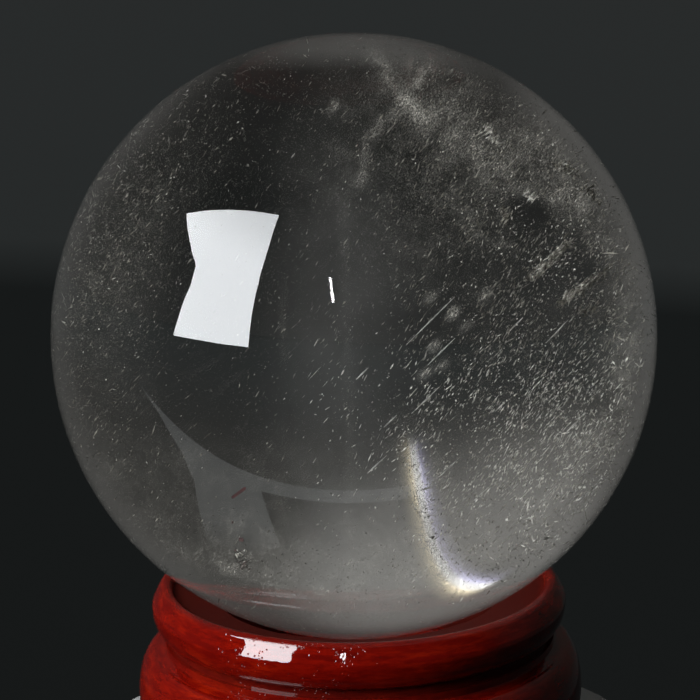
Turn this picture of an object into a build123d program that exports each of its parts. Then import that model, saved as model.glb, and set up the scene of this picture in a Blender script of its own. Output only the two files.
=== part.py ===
"""Crystal ball: a polished rock-crystal sphere resting loose on a turned, lacquered wooden stand.

Millimetres, +Z up. The origin is the centre of the stand's underside, so the part stands on Z = 0.
The front of the object faces -Y. The ball's centre lies on the Z axis, above the stand.
"""
from build123d import *
import math
import os

os.makedirs("parts", exist_ok=True)

# ---- driving dimensions ------------------------------------------------------------------------
ball_radius = 30.0
ball_height = 44.0          # height of the ball's centre above the table

# seat ring: the upper turned piece, a bead with a shallow dish and a bore that the ball dips into
bore_radius = 14.0
seat_gap = 0.15             # clearance between the ball and the edge of the bore
rim_radius = 20.85          # widest point of the bead
rim_height = 16.5           # height of that widest point
rim_drop = 2.55             # from the widest point down to the neck
bead_under = 1.5            # width of the bead's lower quarter
shoulder_round = 1.2        # rounding from the widest point into the sloping outer face
face_round = 8.0            # the face is slightly crowned
crest_round = 0.88          # rounding from the face over to the crest
face_start = 23.5           # how far the face leans back at its lower edge, in degrees
face_end = 34.5             # and at its upper edge
crest_inside = 0.7          # the crest rolls over inwards by this much
dish_depth = 0.75           # from the crest down to the dish
ring_neck_radius = 19.15
spigot_radius = 17.0
spigot_length = 3.8

# stand base: the lower turned piece, a belly on a small foot bead
joint_height = 13.0         # where the ring's shoulder sits on the base
base_neck_radius = 19.65
belly_radius = 22.4
belly_height = 7.6          # height of the belly's widest point
belly_half_height = 4.3
belly_flare = 1.85          # how far the belly stands out from its two grooves
foot_radius = 22.1
foot_height = 2.7
foot_bead = 1.2
groove_depth = 1.9          # how far the groove above the foot is cut in
glue_gap = 0.05
socket_floor = 9.0
hollow_radius = 15.0        # shallow hollow turned in the underside
hollow_depth = 0.8

# inclusions: foreign crystals that the quartz grew around
growth_tilt = 38.0          # elevation of the needles above the horizontal, in degrees
growth_turn = 25.0          # their heading, from +X towards +Y, in degrees
needle_width = 0.12
needle_tip = 0.02
long_needle_length = 4.9
edge_needle_length = 3.3
swarm_rows = 3
swarm_columns = 4
swarm_length = 2.0
plate_thickness = 0.08


# ---- crystal ball ------------------------------------------------------------------------------
with BuildPart() as crystal_ball:
    with Locations((0, 0, ball_height)):
        Sphere(ball_radius)
crystal_ball.part.label = "crystal_ball"


# ---- needle inclusions -------------------------------------------------------------------------
tilt = math.radians(growth_tilt)
turn = math.radians(growth_turn)
growth = Vector(
    math.cos(tilt) * math.cos(turn),
    math.cos(tilt) * math.sin(turn),
    math.sin(tilt),
)


def needle_places():
    """Centre and length of each needle: two long ones and a loose swarm to the right of centre."""
    long_one = (Vector(5.6, -7.8, ball_height + 3.2), long_needle_length)
    edge_one = (Vector(18.6, -7.3, ball_height - 11.2), edge_needle_length)
    places = [long_one, edge_one]
    for row in range(swarm_rows):
        for column in range(swarm_columns):
            step = row * swarm_columns + column
            x = 1.5 + 4.6 * column + 1.1 * math.sin(2.1 * step)
            y = -12.0 + 3.4 * row + 1.6 * math.cos(1.7 * step)
            z = ball_height - 8.5 + 4.4 * row + 1.9 * math.sin(1.3 * step + 1.0)
            length = swarm_length * (1.0 + 0.45 * math.sin(2.9 * step))
            places.append((Vector(x, y, z), length))
    return places


# each needle is a slender spindle: two cones base to base along the growth direction
with BuildPart() as needle_inclusions:
    for centre, length in needle_places():
        with Locations(Plane(origin=centre, z_dir=growth)):
            Cone(needle_width / 2, needle_tip, length / 2, align=(Align.CENTER, Align.CENTER, Align.MIN))
        with Locations(Plane(origin=centre, z_dir=-growth)):
            Cone(needle_width / 2, needle_tip, length / 2, align=(Align.CENTER, Align.CENTER, Align.MIN))
needle_inclusions.part.label = "needle_inclusions"


# ---- iron-oxide plates -------------------------------------------------------------------------
# thin bladed platelets low on the left side of the ball, the first the longest
plate_lie = Vector(0.51, -0.41, 0.76)
plate_places = [
    (Vector(-10.15, -20.35, ball_height - 8.2), 1.9, 0.26),
    (Vector(-10.60, -18.05, ball_height - 11.2), 0.3, 0.18),
    (Vector(-9.80, -17.10, ball_height - 12.9), 0.6, 0.46),
    (Vector(-10.30, -16.20, ball_height - 14.1), 0.3, 0.2),
    (Vector(-9.60, -15.20, ball_height - 15.6), 1.2, 0.34),
]

with BuildPart() as oxide_plates:
    for index, (centre, length, width) in enumerate(plate_places):
        facing = Vector(math.sin(1.9 * index), -1.6, math.cos(2.3 * index))
        end = length / 2
        side = width / 2
        with BuildSketch(Plane(origin=centre, x_dir=plate_lie, z_dir=facing)):
            Polygon(
                (-end, 0),
                (side - end, -side),
                (end - side, -side),
                (end, 0),
                (end - side, side),
                (side - end, side),
            )
        extrude(amount=plate_thickness)
oxide_plates.part.label = "oxide_plates"


# ---- seat ring ---------------------------------------------------------------------------------
def ball_surface(radius):
    """Height of the ball's lower surface at a distance from the axis."""
    return ball_height - math.sqrt(ball_radius**2 - radius**2)


def round_end(axis, radius, angle):
    """End of an arc about (reach, height) `axis`, at `angle` degrees above the horizontal."""
    return (
        axis[0] + radius * math.cos(math.radians(angle)),
        axis[1] + radius * math.sin(math.radians(angle)),
    )


# the bead's outer side: three arcs that run into each other smoothly
shoulder_axis = (rim_radius - shoulder_round, rim_height)
face_low = round_end(shoulder_axis, shoulder_round, face_start)
face_axis = round_end(face_low, -face_round, face_start)
face_high = round_end(face_axis, face_round, face_end)
crest_axis = round_end(face_high, -crest_round, face_end)
crest_radius = crest_axis[0]
crest_top = crest_axis[1] + crest_round

dish_edge = crest_radius - crest_inside
dish_outer = crest_top - dish_depth
dish_inner = ball_surface(bore_radius) - seat_gap - 0.05
lip = 0.4                   # rounding of the bore's upper edge
lip_axis = bore_radius + lip
rim_neck = rim_height - rim_drop
bead_axis = rim_radius - bead_under
spigot_bottom = joint_height - spigot_length

with BuildPart() as seat_ring:
    with BuildSketch(Plane.XZ):
        with BuildLine():
            Polyline(
                (bore_radius, dish_inner - lip),
                (bore_radius, spigot_bottom),
                (spigot_radius, spigot_bottom),
                (spigot_radius, joint_height),
                (ring_neck_radius, joint_height),
                (ring_neck_radius, rim_neck),
                (bead_axis, rim_neck),
            )
            EllipticalCenterArc((bead_axis, rim_height), bead_under, rim_drop, -90, arc_size=90)
            CenterArc(shoulder_axis, shoulder_round, 0, face_start)
            CenterArc(face_axis, face_round, face_start, face_end - face_start)
            CenterArc(crest_axis, crest_round, face_end, 90 - face_end)
            EllipticalCenterArc((crest_radius, dish_outer), crest_inside, dish_depth, 90, arc_size=90)
            Line((dish_edge, dish_outer), (lip_axis, dish_inner))
            CenterArc((lip_axis, dish_inner - lip), lip, 90, 90)
        make_face()
    revolve(axis=Axis.Z)
seat_ring.part.label = "seat_ring"


# ---- stand base --------------------------------------------------------------------------------
socket_radius = spigot_radius + glue_gap
belly_top = belly_height + belly_half_height
belly_bottom = belly_height - belly_half_height
belly_neck = belly_radius - belly_flare
base_neck_height = belly_top + 0.35
groove_radius = foot_radius - groove_depth

with BuildPart() as stand_base:
    with BuildSketch(Plane.XZ):
        with BuildLine():
            Polyline(
                (belly_neck, belly_top),
                (base_neck_radius, base_neck_height),
                (base_neck_radius, joint_height),
                (socket_radius, joint_height),
                (socket_radius, socket_floor),
                (0, socket_floor),
                (0, hollow_depth),
                (hollow_radius, hollow_depth),
                (hollow_radius, 0),
                (foot_radius - foot_bead, 0),
            )
            foot_axis = foot_radius - foot_bead
            EllipticalCenterArc((foot_axis, foot_height / 2), foot_bead, foot_height / 2, -90, arc_size=180)
            Polyline(
                (foot_radius - foot_bead, foot_height),
                (groove_radius, foot_height),
                (groove_radius, belly_bottom),
                (belly_neck, belly_bottom),
            )
            EllipticalCenterArc((belly_neck, belly_height), belly_flare, belly_half_height, -90, arc_size=180)
        make_face()
    revolve(axis=Axis.Z)
stand_base.part.label = "stand_base"


# ---- one file for each piece -------------------------------------------------------------------
for piece in (crystal_ball, needle_inclusions, oxide_plates, seat_ring, stand_base):
    export_step(piece.part, f"parts/{piece.part.label}.step")
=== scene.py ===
"""Looks of the crystal ball: a polished rock-crystal sphere on a red-lacquered turned stand.

Metres, in the CAD model's frame. The viewer in front is on the -Y side. The ball and everything inside it
ride on the body "ball". The stand's two pieces and the minerals in the ball are the CAD's own nodes with
materials of their own.

Places in the ball are given as x to the right of its centre and z above it, in ball radii, as the viewer in
front sees them through the quartz.
"""
import math

import bpy
import numpy as np
from mathutils import Matrix, Vector, noise


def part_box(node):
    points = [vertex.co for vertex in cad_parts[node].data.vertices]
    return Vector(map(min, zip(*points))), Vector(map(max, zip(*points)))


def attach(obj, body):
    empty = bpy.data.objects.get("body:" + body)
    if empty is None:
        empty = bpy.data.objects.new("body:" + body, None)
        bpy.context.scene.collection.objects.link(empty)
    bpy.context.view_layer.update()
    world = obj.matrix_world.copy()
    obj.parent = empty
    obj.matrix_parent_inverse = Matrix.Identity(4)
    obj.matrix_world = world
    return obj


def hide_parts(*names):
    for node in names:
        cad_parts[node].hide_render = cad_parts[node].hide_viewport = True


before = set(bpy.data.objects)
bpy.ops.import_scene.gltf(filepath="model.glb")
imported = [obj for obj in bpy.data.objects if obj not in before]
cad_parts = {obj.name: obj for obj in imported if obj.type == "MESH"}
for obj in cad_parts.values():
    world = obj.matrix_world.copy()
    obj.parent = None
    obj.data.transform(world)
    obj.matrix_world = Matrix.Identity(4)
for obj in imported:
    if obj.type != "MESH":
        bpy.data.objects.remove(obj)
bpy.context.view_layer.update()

MM = 0.001
QUARTZ_IOR = 1.544
LACQUER_IOR = 1.52
MILKINESS = 2.4  # scattering in milky quartz, per metre
SHADOW_SHARE = 0.9  # the share of a lamp's light that passes the ball's surface

ball_low, ball_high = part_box("crystal_ball")
ring_low, ring_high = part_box("seat_ring")
CENTRE = np.array((ball_low + ball_high) / 2)
RADIUS = (ball_high.z - ball_low.z) / 2
DISH_EDGE = ring_high.x - 2.0 * MM  # where the ring's crest rolls over into its dish
# a radian round the stand counts as this length, so that the wood's figure runs along the turning
FIGURE_STRETCH = 4.2 * MM
BAND_X = -0.03  # where the upright milky band is, in ball radii to the right of the centre

# ---- camera ------------------------------------------------------------------------------------
VIEW_DISTANCE = 400 * MM
VIEW_ELEVATION = math.radians(15.3)
VIEW_ROLL = math.radians(-1.12)
LENS = 207.6  # focal length in millimetres
SENSOR_WIDTH = 36.0
# where the camera aims, from the ball's centre
AIM_RIGHT = -0.41 * MM
AIM_UP = -1.37 * MM

forward = Vector((0, math.cos(VIEW_ELEVATION), -math.sin(VIEW_ELEVATION)))
rightward = Vector((1, 0, 0))
upward = rightward.cross(forward)
eye = Vector(CENTRE) - forward * VIEW_DISTANCE


def make_camera():
    """A long lens in front, a little above the ball."""
    data = bpy.data.cameras.new("camera")
    data.lens = LENS
    data.sensor_width = SENSOR_WIDTH
    data.clip_start = 0.01
    data.clip_end = 20.0
    camera = bpy.data.objects.new("camera", data)
    bpy.context.collection.objects.link(camera)
    aim = Vector(CENTRE) + rightward * AIM_RIGHT + upward * AIM_UP
    turn = (aim - eye).to_track_quat("-Z", "Y").to_matrix() @ Matrix.Rotation(VIEW_ROLL, 3, "Z")
    camera.matrix_world = Matrix.Translation(eye) @ turn.to_4x4()
    bpy.context.scene.camera = camera


# ---- node helpers ------------------------------------------------------------------------------
class Nodes:
    """The node tree of a material or a world, with short calls to add and join nodes."""

    def __init__(self, owner, output="OutputMaterial"):
        owner.use_nodes = True
        self.tree = owner.node_tree
        self.tree.nodes.clear()
        self.output = self.add(output)

    def add(self, kind, inputs=None, **settings):
        """Adds a node. An input that is another node's socket is linked; any other value is set."""
        node = self.tree.nodes.new("ShaderNode" + kind)
        for key, value in settings.items():
            setattr(node, key, value)
        for key, value in (inputs or {}).items():
            if isinstance(value, bpy.types.NodeSocket):
                self.tree.links.new(value, node.inputs[key])
            else:
                node.inputs[key].default_value = value
        return node

    def math(self, operation, first, second=0.0):
        return self.add("Math", {0: first, 1: second}, operation=operation).outputs[0]

    def noise(self, vector, scale, detail=3.0, roughness=0.5, distortion=0.0):
        inputs = {"Vector": vector, "Scale": scale, "Detail": detail}
        inputs.update({"Roughness": roughness, "Distortion": distortion})
        return self.add("TexNoise", inputs).outputs["Fac"]

    def between(self, value, low, high, to_low=0.0, to_high=1.0):
        """Goes smoothly from to_low, where the value is low, to to_high, where it is high."""
        inputs = {"Value": value, "From Min": low, "From Max": high, "To Min": to_low, "To Max": to_high}
        return self.add("MapRange", inputs, interpolation_type="SMOOTHSTEP").outputs["Result"]

    def bell(self, value, middle, width):
        """1 where the value is `middle`, falling off on both sides."""
        off = self.math("DIVIDE", self.math("SUBTRACT", value, middle), width)
        return self.math("EXPONENT", self.math("MULTIPLY", self.math("MULTIPLY", off, off), -1.0))

    def mix(self, share, first, second):
        """A colour between two others. Sockets 6 and 7 take the colours, and 2 gives the mixed one."""
        return self.add("Mix", {0: share, 6: first, 7: second}, data_type="RGBA").outputs[2]

    def vector(self, operation, first, second=(0.0, 0.0, 0.0), out="Vector"):
        return self.add("VectorMath", {0: first, 1: second}, operation=operation).outputs[out]

    def towards(self, looking, direction):
        """How far the direction looked in points along another: 1 straight along it, -1 straight away."""
        return self.vector("DOT_PRODUCT", looking, tuple(direction), out="Value")

    def finish(self, shader, volume=None):
        self.tree.links.new(shader, self.output.inputs["Surface"])
        if volume:
            self.tree.links.new(volume, self.output.inputs["Volume"])


# ---- materials ---------------------------------------------------------------------------------
def quartz_material():
    """Clear polished quartz with a faint milkiness, thickest in an upright band and low down.

    Lamps shine straight through the surface, so that the milkiness and the flaws inside are lit.
    """
    material = bpy.data.materials.new("quartz")
    n = Nodes(material)
    place = n.add("TexCoord").outputs["Object"]
    smears = n.noise(place, 60.0, detail=4.0)
    glass = n.add(
        "BsdfPrincipled",
        {
            "Base Color": (0.97, 0.965, 0.945, 1.0),
            "Roughness": n.between(smears, 0.5, 0.8, 0.0, 0.003),
            "IOR": QUARTZ_IOR,
            "Transmission Weight": 1.0,
        },
    )
    clear = n.add("BsdfTransparent", {"Color": (SHADOW_SHARE, SHADOW_SHARE, SHADOW_SHARE, 1.0)})
    path = n.add("LightPath")
    both = n.add("MixShader", {0: path.outputs["Is Shadow Ray"], 1: glass.outputs[0], 2: clear.outputs[0]})

    inside = n.vector("DIVIDE", n.vector("SUBTRACT", place, tuple(CENTRE)), (RADIUS,) * 3)
    x, y, z = n.add("SeparateXYZ", {0: inside}).outputs
    band = n.math("MULTIPLY", n.bell(x, BAND_X, 0.15), n.between(z, 0.75, 0.45))
    swirl = n.math("MULTIPLY", n.noise(place, 85.0, detail=4.0, roughness=0.65), 1.3)
    low = n.between(n.math("ADD", z, swirl), 0.56, -0.28)
    low = n.math("MULTIPLY", low, n.between(n.bell(x, 0.14, 0.36), 0.0, 1.0, 0.15, 1.0))
    right = n.between(x, 0.15, 0.65)
    parts = n.math("ADD", n.math("MULTIPLY", band, 1.25), n.math("MULTIPLY", low, 0.85))
    parts = n.math("ADD", parts, n.math("MULTIPLY", right, 0.12))
    # most of it is in the half nearer the viewer
    near = n.between(y, 0.35, -0.25)
    cloud = n.between(n.noise(place, 130.0, detail=2.0), 0.35, 0.65, 0.3, 1.75)
    milk = n.math("MULTIPLY", n.math("MULTIPLY", parts, near), cloud)
    density = n.math("MULTIPLY", milk, MILKINESS)
    scatter = n.add("VolumeScatter", {"Color": (1.0, 0.975, 0.92, 1.0), "Density": density})
    n.finish(both.outputs[0], scatter.outputs[0])
    return material


def mineral_material(name, dull, bright, roughness=0.45):
    """Opaque mineral grains, each a little different from its neighbours."""
    material = bpy.data.materials.new(name)
    n = Nodes(material)
    place = n.add("TexCoord").outputs["Object"]
    patch = n.noise(place, 2400.0, detail=1.0)
    tint = n.mix(n.between(patch, 0.35, 0.68), (*dull, 1.0), (*bright, 1.0))
    shader = n.add("BsdfPrincipled", {"Base Color": tint, "Roughness": roughness})
    n.finish(shader.outputs[0])
    return material


def lacquer_material(name, seed):
    """Thick clear red lacquer over mottled, turned wood with pits and tool marks; the dish stays dull and
    darker, its darkness partly painted shade.
    """
    material = bpy.data.materials.new(name)
    n = Nodes(material)
    place = n.add("TexCoord").outputs["Object"]
    x, y, z = n.add("SeparateXYZ", {0: place}).outputs
    angle = n.math("ARCTAN2", y, x)
    reach = n.math("SQRT", n.math("ADD", n.math("MULTIPLY", x, x), n.math("MULTIPLY", y, y)))
    along = n.math("ADD", n.math("MULTIPLY", angle, FIGURE_STRETCH), seed)
    fibre = n.add("CombineXYZ", {0: along, 1: reach, 2: z}).outputs[0]
    figure = n.noise(fibre, 1500.0, detail=5.0, roughness=0.75, distortion=0.3)
    cloud = n.noise(place, 130.0, detail=3.0)
    deep = n.mix(n.between(cloud, 0.3, 0.7), (0.080, 0.0014, 0.0006, 1.0), (0.115, 0.0020, 0.0007, 1.0))
    glow = n.mix(n.between(cloud, 0.35, 0.7), (0.140, 0.0028, 0.0008, 1.0), (0.200, 0.0070, 0.0010, 1.0))
    red = n.mix(n.between(figure, 0.40, 0.64), deep, glow)
    dull_dish_and_painted_shade = n.math(
        "MULTIPLY",
        n.between(reach, DISH_EDGE + 1.5 * MM, DISH_EDGE - 1.0 * MM),
        n.between(z, ring_low.z, ring_low.z + 0.2 * MM),
    )
    # the dish under the ball is darker brown-red: partly bare, dull wood, partly painted shade from the
    # ball, which casts hardly any shadow
    colour = n.mix(dull_dish_and_painted_shade, red, (0.046, 0.0052, 0.0034, 1.0))

    waves = n.noise(place, 420.0, detail=2.0, roughness=0.6)
    peel = n.noise(place, 1500.0, detail=1.0)
    pits = n.add("TexVoronoi", {"Vector": place, "Scale": 2300.0}).outputs["Distance"]
    pit_places = n.noise(place, 480.0, detail=2.0)
    pitted = n.math("MULTIPLY", n.between(pits, 0.30, 0.08), n.between(pit_places, 0.44, 0.60))
    # the pits are in a strip across the front and the back, a little to the left
    pitted_strip = n.math("MULTIPLY", n.between(x, -15 * MM, -12 * MM), n.between(x, 3 * MM, 0.0))
    pitted = n.math("MULTIPLY", pitted, pitted_strip)
    profile = n.add("CombineXYZ", {0: reach, 1: 0.0, 2: z})
    tool_marks = n.noise(profile.outputs[0], 3000.0, detail=1.0)
    soft = n.add("Bump", {"Height": waves, "Strength": 0.45, "Distance": 0.10 * MM})
    peeled = n.add(
        "Bump",
        {"Height": peel, "Strength": 0.25, "Distance": 0.02 * MM, "Normal": soft.outputs[0]},
    )
    marked = n.add(
        "Bump",
        {"Height": tool_marks, "Strength": 0.12, "Distance": 0.012 * MM, "Normal": peeled.outputs[0]},
    )
    pocked = n.add(
        "Bump",
        {"Height": pitted, "Strength": 0.9, "Distance": 0.07 * MM, "Normal": marked.outputs[0]},
        invert=True,
    )
    shader = n.add(
        "BsdfPrincipled",
        {
            "Base Color": colour,
            "Roughness": n.between(figure, 0.3, 0.7, 0.42, 0.6),
            "Specular IOR Level": 0.0,
            "Normal": pocked.outputs[0],
            "Coat Weight": n.between(dull_dish_and_painted_shade, 0.0, 1.0, 1.0, 0.12),
            "Coat Roughness": 0.03,
            "Coat IOR": LACQUER_IOR,
            "Coat Normal": pocked.outputs[0],
        },
    )
    n.finish(shader.outputs[0])
    return material


def plain_material(name, colour, roughness):
    """One colour all over."""
    material = bpy.data.materials.new(name)
    n = Nodes(material)
    shader = n.add("BsdfPrincipled", {"Base Color": (*colour, 1.0), "Roughness": roughness})
    n.finish(shader.outputs[0])
    return material


def lamp_material(name, colour, strength):
    """An even glow."""
    material = bpy.data.materials.new(name)
    n = Nodes(material)
    n.finish(n.add("Emission", {"Color": (*colour, 1.0), "Strength": strength}).outputs[0])
    return material


def panel_material(strength, faint, full):
    """A glow added to what lies behind it, from nil at the height `faint` to the whole at `full`."""
    material = bpy.data.materials.new("panel_light")
    n = Nodes(material)
    height = n.add("SeparateXYZ", {0: n.add("TexCoord").outputs["Object"]}).outputs[2]
    level = n.between(height, faint, full, 0.0, strength)
    glow = n.add("Emission", {"Color": (0.92, 0.97, 1.0, 1.0), "Strength": level}).outputs[0]
    n.finish(n.add("AddShader", {0: glow, 1: n.add("BsdfTransparent").outputs[0]}).outputs[0])
    return material


# ---- mesh helpers ------------------------------------------------------------------------------
def add_mesh(name, points, faces, material, smooth=False):
    """A new object of one material."""
    mesh = bpy.data.meshes.new(name)
    mesh.from_pydata(points, [], faces)
    mesh.polygons.foreach_set("use_smooth", [smooth] * len(mesh.polygons))
    mesh.materials.append(material)
    mesh.update()
    made = bpy.data.objects.new(name, mesh)
    bpy.context.collection.objects.link(made)
    return made


def sphere(name, radius, rings, around, material):
    """A sphere about the ball's centre."""
    points = [(CENTRE[0], CENTRE[1], CENTRE[2] + radius)]
    for ring in range(1, rings):
        polar = math.pi * ring / rings
        for step in range(around):
            turn = 2 * math.pi * step / around
            points.append(
                (
                    CENTRE[0] + radius * math.sin(polar) * math.cos(turn),
                    CENTRE[1] + radius * math.sin(polar) * math.sin(turn),
                    CENTRE[2] + radius * math.cos(polar),
                )
            )
    points.append((CENTRE[0], CENTRE[1], CENTRE[2] - radius))
    last = len(points) - 1
    faces = []
    for step in range(around):
        after = (step + 1) % around
        faces.append((0, 1 + step, 1 + after))
        faces.append((last, last - around + after, last - around + step))
        for ring in range(rings - 2):
            first = 1 + ring * around
            below = first + around
            faces.append((first + step, below + step, below + after, first + after))
    return add_mesh(name, points, faces, material, smooth=True)


# ---- inclusions --------------------------------------------------------------------------------
rng = np.random.default_rng(29)
# the camera's place and directions once more, as arrays
FORWARD, RIGHTWARD, UPWARD, EYE = (np.array(v) for v in (forward, rightward, upward, eye))
STREAK_LEAN = 54.0  # how the streaks lean from the horizontal, in degrees

# how far from the ball's centre things may be, in ball radii
SPOT_EDGE = 0.955  # the middles of chips
CHIP_EDGE = 0.968  # the corners of chips, as the viewer in front sees them
VEIL_EDGE = 0.975  # healed cracks
VEIL_FADE_END = 0.97  # healed cracks have thinned out to nothing here,
VEIL_FADE = 0.06  # over this width
VEIL_STEP = 0.013  # the mesh size of healed cracks
VEIL_THINNEST = 0.03  # thinner parts of healed cracks are left out
# the same in depth, as shares of the way through the ball along a line of sight
CHIP_DEPTHS = (0.012, 0.985)
VEIL_DEPTHS = (0.02, 0.95)

# how many random spots are tried before they are thinned out
GRAIN_TRIES = 150000
STREAK_TRIES = 26000
GLINT_TRIES = 12000
CRACK_CROWDING = 900  # crystals in a crack one ball radius long

# the dark clump low on the left
CLUMP_X = -0.385
CLUMP_Z = -0.735


def bend(direction, normal, ratio):
    """Directions bent where they pass a surface; the normals face the side that they come from."""
    facing = -np.sum(direction * normal, axis=1)
    inner = np.sqrt(1 - ratio**2 * (1 - facing**2))
    return ratio * direction + (ratio * facing - inner)[:, None] * normal


def through(x, z):
    """Where the viewer's lines of sight enter the ball, how they run on inside, and for how far.

    x and z are as the viewer sees them. The entries are measured from the ball's centre.
    """
    flat = RADIUS / math.sqrt(1 - (RADIUS / VIEW_DISTANCE) ** 2)
    sight = FORWARD * VIEW_DISTANCE + np.outer(x * flat, RIGHTWARD) + np.outer(z * flat, UPWARD)
    sight /= np.linalg.norm(sight, axis=1)[:, None]
    start = EYE - CENTRE
    half = sight @ start
    reach = -half - np.sqrt(np.maximum(half**2 - (start @ start - RADIUS**2), 0))
    entry = start + sight * reach[:, None]
    bent = bend(sight, entry / RADIUS, 1 / QUARTZ_IOR)
    return entry, bent, -2 * np.sum(entry * bent, axis=1)


def seen(x, z, depth):
    """The points inside the ball that the viewer in front sees at x and z.

    depth is the share of the way through the ball along the bent line of sight.
    """
    entry, bent, chord = through(x, z)
    return CENTRE + entry + bent * (chord * depth)[:, None]


def beyond(x, z, distance):
    """The points behind the ball that the viewer in front sees at x and z, this far from the ball."""
    entry, bent, chord = through(x, z)
    leave = entry + bent * chord[:, None]
    return CENTRE + leave + bend(bent, -leave / RADIUS, QUARTZ_IOR) * distance


def chips(name, corners, pattern, material):
    """One mesh of many small closed chips.

    corners are the chips' corners as the viewer in front sees them: x, z and depth.
    pattern is the faces of one chip.
    """
    count, each = corners.shape[:2]
    x, z, depth = corners.reshape(-1, 3).T
    # corners that would stick out of the ball are pulled back in
    edge = np.maximum(np.hypot(x, z) / CHIP_EDGE, 1.0)
    points = seen(x / edge, z / edge, np.clip(depth, *CHIP_DEPTHS))
    faces = (np.array(pattern)[None] + each * np.arange(count)[:, None, None]).reshape(-1, 3)
    made = add_mesh(name, points.tolist(), faces.tolist(), material)
    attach(made, "ball")


def grains(name, x, z, depth, size, material):
    """Four-sided chips of random shape."""
    count = len(x)
    corners = rng.normal(0, 1, (count, 4, 3))
    corners /= np.linalg.norm(corners, axis=2)[:, :, None]
    corners *= size[:, None, None] * np.array((1.0, 1.0, 0.6))
    corners += np.stack([x, z, depth], axis=1)[:, None]
    chips(name, corners, [(0, 1, 2), (0, 3, 1), (1, 3, 2), (2, 3, 0)], material)


def flakes(name, x, z, depth, length, width, lean, material):
    """Thin eight-sided crystals that lean from the horizontal by `lean` degrees."""
    count = len(x)
    cos = np.cos(np.radians(lean))
    sin = np.sin(np.radians(lean))
    zero = np.zeros(count)
    along = np.stack([cos * length / 2, sin * length / 2, rng.normal(0, 0.3, count) * length], axis=1)
    across = np.stack([-sin * width / 2, cos * width / 2, rng.normal(0, 0.3, count) * width], axis=1)
    thick = np.stack([zero, zero, width * 0.25], axis=1)
    middle = np.stack([x, z, depth], axis=1)
    corners = np.stack([along, -along, across, -across, thick, -thick], axis=1) + middle[:, None]
    pattern = [(0, 2, 4), (2, 1, 4), (1, 3, 4), (3, 0, 4), (2, 0, 5), (1, 2, 5), (3, 1, 5), (0, 3, 5)]
    chips(name, corners, pattern, material)


def spread(count, middle, share):
    """Random sizes about `middle`, most of them within the given share of it."""
    return middle * np.exp(rng.normal(0.0, share, count))


def in_disc(count):
    """Random spots over the ball's face, in ball radii."""
    reach = SPOT_EDGE * np.sqrt(rng.random(count))
    turn = 2 * math.pi * rng.random(count)
    return reach * np.cos(turn), reach * np.sin(turn)


def patchy(x, z, scale, seed):
    """Soft random patches from 0 to 1."""
    values = [noise.noise(Vector((a * scale, b * scale, seed))) for a, b in zip(x, z)]
    return np.clip(0.5 + 1.1 * np.array(values), 0, 1)


def blob(x, z, at_x, at_z, wide, high, turn=0.0):
    """A soft oval patch, 1 in its middle, turned by `turn` degrees."""
    cos = math.cos(math.radians(turn))
    sin = math.sin(math.radians(turn))
    dx = x - at_x
    dz = z - at_z
    return np.exp(-(((dx * cos + dz * sin) / wide) ** 2) - (((dz * cos - dx * sin) / high) ** 2))


def keep(count, density):
    """Spots over the ball's face, thinned so that they are as dense as density(x, z) says."""
    x, z = in_disc(count)
    kept = rng.random(count) < density(x, z)
    return x[kept], z[kept]


def rim_glitter(x, z):
    """Dense along the left rim, from low left to the upper left."""
    edge = np.hypot(x, z)
    turn = np.degrees(np.arctan2(z, -x))
    return np.exp(-(((edge - 0.83) / 0.14) ** 2)) * np.exp(-(((turn - 14) / 36) ** 2)) * (x < 0)


def right_cloud(x, z):
    """Dense down the right side and low on the right."""
    side = blob(x, z, 0.72, 0.02, 0.34, 0.62, turn=8)
    low = blob(x, z, 0.55, -0.45, 0.30, 0.34, turn=40)
    return side + 0.8 * low


def stroke(x, z, bends, width):
    """A soft line through the points in `bends`, 1 along its middle."""
    nearest = np.full(np.shape(x), np.inf)
    for (x0, z0), (x1, z1) in zip(bends, bends[1:]):
        dx = x1 - x0
        dz = z1 - z0
        share = np.clip(((x - x0) * dx + (z - z0) * dz) / (dx * dx + dz * dz), 0, 1)
        nearest = np.minimum(nearest, np.hypot(x - x0 - share * dx, z - z0 - share * dz))
    return np.exp(-((nearest / width) ** 2))


def hollow(x, z):
    """1 outside the clear pockets in the veils, 0 inside them."""
    large = blob(x, z, 0.61, 0.40, 0.060, 0.045, turn=-20)
    small = blob(x, z, 0.78, 0.20, 0.07, 0.05, turn=-50)
    return 1 - np.minimum(large + 0.8 * small, 1)


def band_veil(x, z):
    """The healed crack that sweeps from the top down the right side."""
    band = stroke(x, z, [(0.21, 0.78), (0.38, 0.63), (0.53, 0.52), (0.64, 0.45), (0.76, 0.42)], 0.055)
    pale = blob(x, z, 0.36, 0.80, 0.30, 0.13, turn=-28)
    curve = stroke(x, z, [(0.37, 0.35), (0.45, 0.31), (0.54, 0.28)], 0.008)
    haze = blob(x, z, 0.26, 0.55, 0.32, 0.30)
    return (0.48 * band + 0.20 * pale + 0.35 * curve + 0.34 * haze) * hollow(x, z)


def rim_veil(x, z):
    """Cloudy patches along both sides and low on the right."""
    side = stroke(x, z, [(0.62, 0.66), (0.80, 0.46), (0.91, 0.20), (0.92, -0.10), (0.84, -0.35)], 0.10)
    low = blob(x, z, 0.55, -0.45, 0.34, 0.34, turn=40) + 0.5 * blob(x, z, 0.62, 0.0, 0.30, 0.30)
    return (0.50 * side + 0.13 * low + 0.20 * rim_glitter(x, z)) * hollow(x, z)


# small pale spots, denser than the cracks around them
PALE_SPOTS = [
    (-0.05, 0.76),
    (0.26, 0.125),
    (0.37, 0.025),
    (0.26, -0.04),
    (0.29, -0.10),
    (0.33, 0.07),
    (0.44, 0.13),
    (0.23, -0.13),
]


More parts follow.
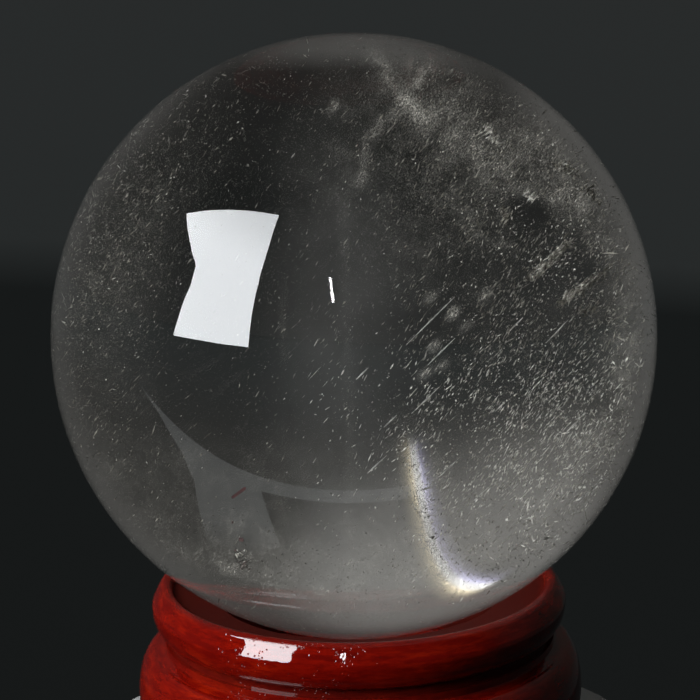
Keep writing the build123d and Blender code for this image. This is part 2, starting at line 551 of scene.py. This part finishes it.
def cross_veil(x, z):
    """Two thin cracks that cross near the top, an upright seam, a short edge and small pale spots."""
    rising = stroke(x, z, [(0.03, 0.50), (0.06, 0.65), (0.19, 0.785), (0.28, 0.92)], 0.017)
    falling = stroke(x, z, [(0.07, 0.94), (0.19, 0.785), (0.27, 0.69)], 0.024)
    seam = stroke(x, z, [(-0.03, 0.44), (-0.02, 0.0), (-0.03, -0.86)], 0.014)
    spots = sum(blob(x, z, *place, 0.022, 0.012, turn=40) for place in PALE_SPOTS)
    edge = stroke(x, z, [(-0.22, 0.17), (-0.235, 0.10), (-0.23, -0.08)], 0.010)
    return 0.55 * rising + 0.66 * falling + 0.13 * seam + 0.12 * edge + 1.2 * spots


def low_veil(x, z):
    """Cloudy wisps in the bottom of the ball."""
    wisps = blob(x, z, 0.10, -0.78, 0.60, 0.17) + 0.60 * blob(x, z, -0.38, -0.80, 0.30, 0.10, turn=-25)
    rising = stroke(x, z, [(0.20, -0.90), (0.24, -0.60), (0.20, -0.35)], 0.10)
    haze = 0.16 / (1 + np.exp((z + 0.38) / 0.06))
    return 0.36 * wisps + 0.26 * rising + haze * (0.4 + 1.2 * patchy(x, z, 4.0, 5.7))


def veil_material():
    """A crack healed with specks too small to tell apart, in clouds and in rows along the streaks' lean."""
    material = bpy.data.materials.new("healed_crack")
    n = Nodes(material)
    lie = n.add("UVMap", uv_map="lie").outputs[0]
    thickness = n.add("Attribute", attribute_name="thickness").outputs["Fac"]
    cloud = n.between(n.noise(lie, 16.0, detail=4.0, roughness=0.6), 0.38, 0.62, 0.50, 1.28)
    patch = n.between(n.noise(lie, 5.0, detail=3.0, roughness=0.6), 0.40, 0.60, 0.72, 1.25)
    rows = n.vector("MULTIPLY", lie, (1.0, 3.5, 1.0))
    streaky = n.between(n.noise(rows, 55.0, detail=2.0), 0.42, 0.62, 0.45, 1.35)
    speck = n.between(n.noise(lie, 210.0, detail=1.0), 0.45, 0.62, 0.30, 1.6)
    clouded = n.math("MULTIPLY", n.math("MULTIPLY", patch, cloud), streaky)
    cover = n.math("MULTIPLY", clouded, n.math("MULTIPLY", speck, thickness))
    shader = n.add(
        "BsdfPrincipled",
        {
            "Base Color": (0.52, 0.495, 0.435, 1.0),
            "Roughness": 0.8,
            "Specular IOR Level": 0.2,
            "Alpha": n.math("MULTIPLY", cover, 0.28),
        },
    )
    n.finish(shader.outputs[0])
    return material


def veil(name, front, density, material):
    """A thin crumpled sheet across the ball, wherever density(x, z) is not nil.

    The sheet is about `front` ball radii nearer the viewer than the ball's centre.
    """
    line = np.arange(-VEIL_EDGE, VEIL_EDGE, VEIL_STEP)
    x, z = (grid.ravel() for grid in np.meshgrid(line, line))
    reach = np.hypot(x, z)
    inside = reach < VEIL_EDGE
    thickness = density(x, z) * np.clip((VEIL_FADE_END - reach) / VEIL_FADE, 0, 1)
    across = len(line)
    corner = (np.arange(across - 1)[:, None] * across + np.arange(across - 1)[None]).ravel()
    faces = np.stack([corner, corner + 1, corner + across + 1, corner + across], axis=1)
    faces = faces[inside[faces].all(axis=1) & (thickness[faces].max(axis=1) > VEIL_THINNEST)]
    used, faces = np.unique(faces, return_inverse=True)
    x, z, thickness = x[used], z[used], thickness[used]
    entry, bent, chord = through(x, z)
    crumple = np.array([noise.noise(Vector((a * 3, b * 3, front * 40))) for a, b in zip(x, z)])
    depth = (-(front + 0.05 * crumple) * RADIUS - entry @ FORWARD) / (bent @ FORWARD) / chord
    points = seen(x, z, np.clip(depth, *VEIL_DEPTHS))
    made = add_mesh(name, points.tolist(), faces.reshape(-1, 4).tolist(), material, smooth=True)
    made.data.attributes.new("thickness", "FLOAT", "POINT").data.foreach_set("value", thickness)
    # the material's flat coordinates: along the streaks and across them
    cos = math.cos(math.radians(STREAK_LEAN))
    sin = math.sin(math.radians(STREAK_LEAN))
    lie = np.stack([x * cos + z * sin, z * cos - x * sin], axis=1)
    made.data.uv_layers.new(name="lie").data.foreach_set("uv", lie[faces.ravel()].ravel())
    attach(made, "ball")


# the ends of short bright cracks
CRACKS = [
    ((0.58, 0.17), (0.72, 0.30)),
    ((0.60, 0.19), (0.70, 0.28)),
    ((0.68, 0.09), (0.84, 0.20)),
    ((0.70, 0.11), (0.80, 0.18)),
    ((0.745, 0.065), (0.81, 0.075)),
    ((0.445, 0.69), (0.485, 0.62)),
    ((0.50, 0.42), (0.51, 0.365)),
    ((0.57, 0.46), (0.61, 0.44)),
    ((0.67, 0.555), (0.75, 0.525)),
    ((0.68, 0.55), (0.74, 0.53)),
    ((0.77, 0.48), (0.82, 0.425)),
]


def grain_density(x, z):
    """Fine grains: dense along both sides and in the bands, thin in the rest of the upper part."""
    seam = blob(x, z, BAND_X, -0.15, 0.04, 0.62)
    lower = blob(x, z, 0.0, -0.75, 0.8, 0.3)
    upper = 0.05 / (1 + np.exp(-(z + 0.30) / 0.06))
    total = upper + 0.55 * rim_glitter(x, z) + 0.50 * right_cloud(x, z)
    total = total + 1.4 * band_veil(x, z) + 0.12 * seam + 0.10 * lower
    return total * hollow(x, z) * (0.25 + 1.1 * patchy(x, z, 6.0, 3.1))


def streak_density(x, z):
    """Streaks: dense down the right side, fewer in the band, the middle and the left rim."""
    middle = blob(x, z, 0.10, -0.05, 0.45, 0.28)
    total = 0.012 + 0.85 * right_cloud(x, z) + 0.35 * band_veil(x, z)
    total = total + 0.14 * middle + 0.25 * rim_glitter(x, z)
    return total * hollow(x, z) * (0.15 + 1.1 * patchy(x, z, 7.0, 9.0))


def glint_density(x, z):
    """Glints: dense down the right side and in three clusters round the cracks, few elsewhere."""
    cluster = blob(x, z, 0.62, 0.36, 0.20, 0.10, turn=-45) + blob(x, z, 0.52, 0.60, 0.14, 0.06, turn=-35)
    group = blob(x, z, 0.62, 0.20, 0.12, 0.06, turn=45)
    speckle = blob(x, z, -0.35, 0.45, 0.4, 0.3)
    total = 0.02 + 0.3 * cluster + 0.35 * group + 0.18 * rim_glitter(x, z)
    total = total + 0.03 * speckle + 0.40 * right_cloud(x, z)
    return total * hollow(x, z)


def split_with_painted_light(name, make, x, z, *shape, upper, lower):
    """Makes the chips as two pieces.

    Painted light: the lower pieces get brighter materials than the upper ones, as the ball is lit brighter
    low down and not far left.
    """
    # painted light: the chips low down and not far left take the brighter material
    low = (z < -0.10 + rng.normal(0, 0.05, len(z))) & (x > -0.15)
    for part, material, chosen in (("_upper", upper, ~low), ("_lower", lower, low)):
        make(name + part, x[chosen], z[chosen], *(values[chosen] for values in shape), material)


def add_grains(dim, pale):
    """Fine grains all through the quartz."""
    x, z = keep(GRAIN_TRIES, grain_density)
    count = len(x)
    depth = 0.15 + 0.70 * rng.random(count)
    size = spread(count, 0.0021, 0.35)
    split_with_painted_light("fine_grains", grains, x, z, depth, size, upper=dim, lower=pale)


def add_streaks(pale, bright):
    """Thin crystals that all lean the same way."""
    x, z = keep(STREAK_TRIES, streak_density)
    count = len(x)
    depth = 0.20 + 0.62 * rng.random(count)
    length = spread(count, 0.015, 0.45)
    width = spread(count, 0.0028, 0.35)
    lean = rng.normal(STREAK_LEAN, 11.0, count)
    split_with_painted_light("streaks", flakes, x, z, depth, length, width, lean, upper=pale, lower=bright)


def add_cracks(pale, bright):
    """Bright and dull crystals crowded along short cracks near the ball's front."""
    for index, ((x0, z0), (x1, z1)) in enumerate(CRACKS):
        count = round(CRACK_CROWDING * math.hypot(x1 - x0, z1 - z0))
        share = rng.random(count)
        x = x0 + share * (x1 - x0) + rng.normal(0, 0.008, count)
        z = z0 + share * (z1 - z0) + rng.normal(0, 0.008, count)
        depth = 0.06 + 0.05 * rng.random(count)
        length = spread(count, 0.015, 0.6)
        width = spread(count, 0.0042, 0.5)
        lean = rng.normal(STREAK_LEAN - 8, 16.0, count)
        flakes(f"crack_{index}", x, z, depth, length, width, lean, bright if index % 2 else pale)


def add_clump(dark):
    """A dark clump of grains."""
    count = 90
    x = CLUMP_X + rng.normal(0, 0.016, count)
    z = CLUMP_Z + rng.normal(0, 0.016, count)
    depth = 0.30 + 0.05 * rng.random(count)
    grains("clump", x, z, depth, spread(count, 0.0042, 0.4), dark)


def add_dark_specks(dark):
    """Dark specks along the bright streak low in the ball."""
    count = 300
    share = rng.random(count)
    x = np.interp(share, (0, 0.6, 1), (0.18, 0.26, 0.48)) + rng.normal(0, 0.026, count)
    z = np.interp(share, (0, 0.6, 1), (-0.36, -0.70, -0.82)) + rng.normal(0, 0.022, count)
    depth = 0.10 + 0.12 * rng.random(count)
    grains("dark_specks", x, z, depth, spread(count, 0.0028, 0.35), dark)


def add_glints(bright):
    """Bright crystals, smaller on the left."""
    x, z = keep(GLINT_TRIES, glint_density)
    count = len(x)
    smaller = np.where(x < 0, 0.7, 1.0)
    depth = 0.12 + 0.60 * rng.random(count)
    length = smaller * spread(count, 0.0075, 0.5)
    width = smaller * spread(count, 0.0032, 0.4)
    flakes("glints", x, z, depth, length, width, rng.normal(STREAK_LEAN, 28.0, count), bright)


def add_clump_glints(bright):
    """A few bright crystals in front of the upper part of the dark clump."""
    count = 14
    x = CLUMP_X + rng.normal(0, 0.018, count)
    z = CLUMP_Z + 0.027 + rng.normal(0, 0.010, count)
    depth = 0.24 + 0.04 * rng.random(count)
    grains("clump_glints", x, z, depth, spread(count, 0.0050, 0.5), bright)


def add_inclusions():
    """The flaws in the quartz. All kinds draw from the same random numbers, so their order matters."""
    dim = mineral_material("dim_grains", (0.045, 0.043, 0.037), (0.17, 0.162, 0.14), roughness=0.7)
    pale = mineral_material("pale_flakes", (0.06, 0.056, 0.046), (0.33, 0.312, 0.262), roughness=0.6)
    bright = mineral_material("bright_flakes", (0.28, 0.268, 0.228), (0.88, 0.86, 0.79), roughness=0.35)
    dark = mineral_material("dark_clump", (0.010, 0.008, 0.008), (0.06, 0.045, 0.04), roughness=0.6)
    add_grains(dim, pale)
    add_streaks(pale, bright)
    add_cracks(pale, bright)
    add_clump(dark)
    add_dark_specks(dark)
    add_glints(bright)
    add_clump_glints(bright)

    healed = veil_material()
    veil("low_veil", 0.50, low_veil, healed)
    veil("cross_veil", 0.40, cross_veil, healed)
    veil("rim_veil", 0.22, rim_veil, healed)
    veil("band_veil", 0.05, band_veil, healed)


# ---- light -------------------------------------------------------------------------------------
def from_viewer(right, up, back):
    """A direction given as the viewer in front sees it: to the right, up, and back towards the viewer."""
    return (rightward * right + upward * up - forward * back).normalized()


CLOTH_TILT = 0.06  # how the cloth's far edge drops to the right
CLOTH_EDGE = math.radians(-14.54)  # the elevation of the cloth's far edge
SOFTBOX_DISTANCE = 500 * MM
SOFTBOX_LIGHT = 16.5
SOFTBOX_DIMMEST = 0.78  # the share of its light that the softbox has at its top
TUBE_LIGHT = 30.0
TUBE_HALF_WIDTH = 3.0 * MM
FRINGE_DISTANCE = 6.0
FRINGE_HALF_WIDTH = 0.28
PANEL_DISTANCE = 3.0
PANEL_LIGHT = 0.040
SURROUND_RADIUS = 9.0
FLOOR_RADIUS = 30 * MM
FLOOR_THICKNESS = 3 * MM
FLOOR_EDGE = 0.6 * MM  # the width and height of its bevelled edge


def room_stops():
    """The room's light by elevation in degrees: pale straight below, dark cloth, dark wall, paler above."""
    return [
        (-90, (0.100, 0.100, 0.096)),
        (-76, (0.074, 0.074, 0.071)),
        (-64, (0.0068, 0.0066, 0.0062)),
        (math.degrees(CLOTH_EDGE) - 0.12, (0.0085, 0.0098, 0.0098)),
        (math.degrees(CLOTH_EDGE) + 0.12, (0.0200, 0.0225, 0.0225)),
        (-11.0, (0.0215, 0.0238, 0.0238)),
        (0, (0.026, 0.0265, 0.0255)),
        (12, (0.034, 0.034, 0.032)),
        (30, (0.052, 0.051, 0.048)),
        (50, (0.073, 0.072, 0.068)),
        (66, (0.05, 0.05, 0.048)),
        (90, (0.03, 0.03, 0.03)),
    ]


def make_world():
    """A dark room, dimmer in front than behind."""
    world = bpy.data.worlds.new("studio")
    bpy.context.scene.world = world
    n = Nodes(world, "OutputWorld")
    looking = n.add("TexCoord").outputs["Generated"]
    elevation = n.math("ARCSINE", n.towards(looking, (CLOTH_TILT, 0, 1)))
    share = n.add("MapRange", {"Value": elevation, "From Min": -math.pi / 2, "From Max": math.pi / 2})
    ramp = n.add("ValToRGB", {0: share.outputs["Result"]})
    stops = room_stops()
    elements = ramp.color_ramp.elements
    while len(elements) < len(stops):
        elements.new(0.5)
    for element, (degrees, colour) in zip(elements, stops):
        element.position = (degrees + 90) / 180
        element.color = (*colour, 1.0)

    in_front = n.between(n.towards(looking, forward), -0.35, 0.0, 0.22, 1.0)
    n.finish(n.add("Background", {"Color": ramp.outputs["Color"], "Strength": in_front}).outputs[0])


def surround_material():
    """The pale sides of the room, and its pale corner high up at the back on the left."""
    material = bpy.data.materials.new("surround_light")
    n = Nodes(material)
    place = n.add("TexCoord").outputs["Object"]
    looking = n.vector("NORMALIZE", n.vector("SUBTRACT", place, tuple(CENTRE)))
    sideways = n.towards(looking, rightward)
    sides = n.between(n.towards(looking, forward), 0.70, 0.20, 0.0, 0.070)
    sides = n.math("MULTIPLY", sides, n.between(sideways, -0.3, 0.3, 1.9, 1.0))
    sides = n.math("MULTIPLY", sides, n.between(n.math("ABSOLUTE", sideways), 0.20, 0.65))
    sides = n.math("MULTIPLY", sides, n.between(n.towards(looking, (0, 0, 1)), -0.98, -0.72))
    corner = n.between(n.towards(looking, from_viewer(-0.33, 0.70, -0.64)), 0.78, 1.0, 0.0, 0.155)
    # the cloth's far edge is a sharp step; through the quartz it is a soft one
    height = n.towards(looking, (CLOTH_TILT, 0, 1))
    edge = math.sin(CLOTH_EDGE)
    below = n.math("LESS_THAN", height, edge)
    soft = n.math("MULTIPLY", n.between(height, edge - 0.35, edge, 0.0, 0.012), below)
    level = n.math("ADD", n.math("ADD", sides, corner), soft)
    light = n.add("Emission", {"Color": (1.0, 0.985, 0.95, 1.0), "Strength": level})
    both = n.add("AddShader", {0: light.outputs[0], 1: n.add("BsdfTransparent").outputs[0]})
    n.finish(both.outputs[0])
    return material


def softbox_material(along, dim_level, bright_level):
    """The softbox's glow, dimmer at its top. The levels are measured in the direction `along`."""
    material = bpy.data.materials.new("softbox_light")
    n = Nodes(material)
    level = n.towards(n.add("TexCoord").outputs["Object"], along)
    power = n.between(level, dim_level, bright_level, SOFTBOX_LIGHT * SOFTBOX_DIMMEST, SOFTBOX_LIGHT)
    n.finish(n.add("Emission", {"Color": (0.94, 0.97, 1.0, 1.0), "Strength": power}).outputs[0])
    return material


def fringe_material(top, bottom):
    """A tube seen through quartz: dim at its ends, flecked above, yellow and violet at its edges."""
    material = bpy.data.materials.new("fringe_light")
    n = Nodes(material)
    place = n.add("TexCoord").outputs["Object"]
    split_place = n.add("SeparateXYZ", {0: place})
    x = split_place.outputs["X"]
    height = split_place.outputs["Z"]
    rise = n.between(height, bottom.z, top.z)
    slant = {"Value": height, "From Min": bottom.z, "From Max": top.z, "To Min": bottom.x, "To Max": top.x}
    middle_x = n.add("MapRange", slant).outputs["Result"]
    # from 0 at the tube's middle to 1 at its left edge and -1 at its right edge
    share = n.math("DIVIDE", n.math("SUBTRACT", x, middle_x), -FRINGE_HALF_WIDTH)
    squared = n.math("MULTIPLY", share, share)
    core = n.math("EXPONENT", n.math("MULTIPLY", squared, n.between(rise, 0.15, 0.8, -15.0, -10.0)))
    cloud = n.noise(place, 22.0, detail=4.0, roughness=0.7)
    broken = n.between(cloud, 0.40, 0.60, n.between(rise, 0.4, 0.7, 0.8, 0.15), 1.2)
    core_power = n.math("MULTIPLY", n.between(rise, 0.0, 0.34, 2.6, 16.0), broken)
    core_power = n.math("MULTIPLY", core_power, n.between(rise, 0.74, 0.48, 0.14, 1.0))
    # the ball's back folds the upper part of the tube over itself and breaks it into flecks
    folded = n.between(rise, 0.34, 0.60)
    flecks = n.between(n.noise(place, 80.0, detail=3.0, roughness=0.6), 0.43, 0.57, 0.05, 1.55)
    flecked = n.add("MapRange", {"Value": folded, "To Min": 1.0, "To Max": flecks}).outputs["Result"]
    core_power = n.math("MULTIPLY", core_power, flecked)
    skirt = n.math("EXPONENT", n.math("MULTIPLY", squared, -4.0))
    skirt = n.math("MULTIPLY", skirt, n.between(rise, 0.0, 0.40, 1.6, 3.8))
    power = n.math("ADD", n.math("MULTIPLY", core, core_power), skirt)
    edge = n.between(n.math("ABSOLUTE", share), 0.65, 1.0, 1.0, 0.0)
    ends = n.math("MULTIPLY", n.between(rise, 0.0, 0.12), n.between(rise, 1.0, 0.9))
    power = n.math("MULTIPLY", power, n.math("MULTIPLY", edge, ends))
    warm = n.mix(n.between(share, -0.28, -0.02), (1.0, 0.86, 0.58, 1.0), (1.0, 1.0, 1.0, 1.0))
    tint = n.mix(n.between(share, 0.04, 0.28), warm, (0.70, 0.68, 1.0, 1.0))
    n.finish(n.add("Emission", {"Color": tint, "Strength": power}).outputs[0])
    return material


def panel_outline():
    """The outline of a dim curved panel behind the ball, as the viewer in front sees it through the quartz.

    A strip bowed like a smile, with a tapered leg that hangs from its left part.
    """
    left = -0.71
    right = 0.25
    leg_start = -0.315
    strip = [(x, -0.508 + 0.45 * x**2 + 0.55 * x**4) for x in np.linspace(left, right, 33)]
    strip += [(x, -0.55 + 0.45 * x**2) for x in np.linspace(right, leg_start, 17)]
    leg = [
        (-0.255, -0.685),
        (-0.39, -0.73),
        (-0.49, -0.68),
        (-0.535, -0.465),
        (-0.575, -0.37),
        (-0.645, -0.245),
    ]
    return np.array(strip + leg)


def add_strip(name, top, bottom, half_width, material):
    """A flat lamp from `top` to `bottom`, with its width to the left and right."""
    side = rightward * half_width
    points = [top - side, top + side, bottom + side, bottom - side]
    return add_mesh(name, points, [(0, 1, 2, 3)], material)


def add_softbox():
    """A folded softbox to the left in front. It is dimmer at its top."""
    towards = Vector((-0.771, -0.425, 0.474)).normalized()
    across = Vector((0, 0, 1)).cross(towards).normalized()
    along = towards.cross(across)
    middle = Vector(CENTRE) + towards * SOFTBOX_DISTANCE
    # in millimetres across and up
    outline = [
        (-219, 123),
        (92, 263),
        (137, 142),
        (170, 15),
        (192, -79),
        (214, -169),
        (-79, -197),
        (-57, -44),
        (-66, 7),
    ]
    points = [middle + across * u * MM + along * v * MM for u, v in outline]
    level = middle.dot(along)
    glow = softbox_material(along, level + 240 * MM, level + 60 * MM)
    return add_mesh("softbox", points, [tuple(range(len(points)))], glow)


def add_tube():
    """A small tube lamp above the viewer."""
    top = Vector((-51.2, -303.0, 267.4)) * MM
    bottom = Vector((-45.7, -335.0, 215.9)) * MM
    glow = lamp_material("tube_light", (1.0, 0.98, 1.0), TUBE_LIGHT)
    return add_strip("tube_lamp", top, bottom, TUBE_HALF_WIDTH, glow)


def add_fringe():
    """The same tube as the ball's back reflects it."""
    start = Vector(CENTRE) + Vector((-2.2, -26.0, 13.6)) * MM
    top = start + Vector((-0.1348, -0.758, 0.649)) * FRINGE_DISTANCE
    bottom = start + Vector((-0.114, -0.891, 0.439)) * FRINGE_DISTANCE
    return add_strip("fringe_lamp", top, bottom, FRINGE_HALF_WIDTH, fringe_material(top, bottom))


def add_panel():
    """The dim curved panel behind the ball. Its leg fades out downwards."""
    panel_x, panel_z = panel_outline().T
    points = beyond(panel_x, panel_z, PANEL_DISTANCE).tolist()
    faint, full = beyond(np.array((-0.4, -0.4)), np.array((-0.735, -0.58)), PANEL_DISTANCE)[:, 2]
    glow = panel_material(PANEL_LIGHT, faint, full)
    return add_mesh("far_panel", points, [tuple(range(len(points)))], glow)


def place_lamp(lamp, through_quartz):
    """Puts a lamp on the stage. Either it only shows through the quartz, or it never does."""
    lamp.visible_camera = False
    lamp.visible_transmission = through_quartz
    lamp.visible_glossy = not through_quartz
    lamp.visible_diffuse = not through_quartz
    lamp.visible_volume_scatter = not through_quartz


def add_lamps():
    """Two lamps in front that light the object, and three glows that only show through the quartz."""
    place_lamp(add_softbox(), through_quartz=False)
    place_lamp(add_tube(), through_quartz=False)
    place_lamp(add_fringe(), through_quartz=True)
    place_lamp(add_panel(), through_quartz=True)
    surround = sphere("surround", SURROUND_RADIUS, rings=24, around=48, material=surround_material())
    place_lamp(surround, through_quartz=True)


def add_floor():
    """A small pale round table top. It throws no light back at the ball and its stand."""
    around = 128
    points = [(0, 0, 0)]
    outline = [
        (0.0, FLOOR_RADIUS - FLOOR_EDGE),
        (-FLOOR_EDGE, FLOOR_RADIUS),
        (-FLOOR_THICKNESS, FLOOR_RADIUS),
    ]
    for level, reach in outline:
        for step in range(around):
            turn = 2 * math.pi * step / around
            points.append((reach * math.cos(turn), reach * math.sin(turn), level))
    faces = []
    for step in range(around):
        after = (step + 1) % around
        faces.append((0, 1 + step, 1 + after))
        for level in range(2):
            first = 1 + level * around
            below = first + around
            faces.append((first + step, below + step, below + after, first + after))
    floor = add_mesh("floor", points, faces, plain_material("floor_paint", (0.32, 0.32, 0.31), 0.6))
    floor.visible_transmission = False
    floor.visible_glossy = False
    floor.visible_diffuse = False
    floor.visible_volume_scatter = False


# ---- the object --------------------------------------------------------------------------------
make_camera()
make_world()
add_lamps()
add_floor()

# fine enough that no facet shows through the glass
crystal = sphere("crystal_sphere", RADIUS, rings=256, around=512, material=quartz_material())
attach(crystal, "ball")
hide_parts("crystal_ball")
add_inclusions()


def dress(node, material):
    """Gives a CAD node its material."""
    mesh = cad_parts[node].data
    mesh.materials.clear()
    mesh.materials.append(material)


dress("needle_inclusions", mineral_material("needle_mineral", (0.24, 0.235, 0.215), (0.62, 0.61, 0.57)))
dress("oxide_plates", mineral_material("oxide_mineral", (0.040, 0.020, 0.020), (0.085, 0.036, 0.036)))
dress("seat_ring", lacquer_material("ring_lacquer", 0.0))
dress("stand_base", lacquer_material("base_lacquer", 0.37))

bpy.context.scene.view_settings.view_transform = "Standard"
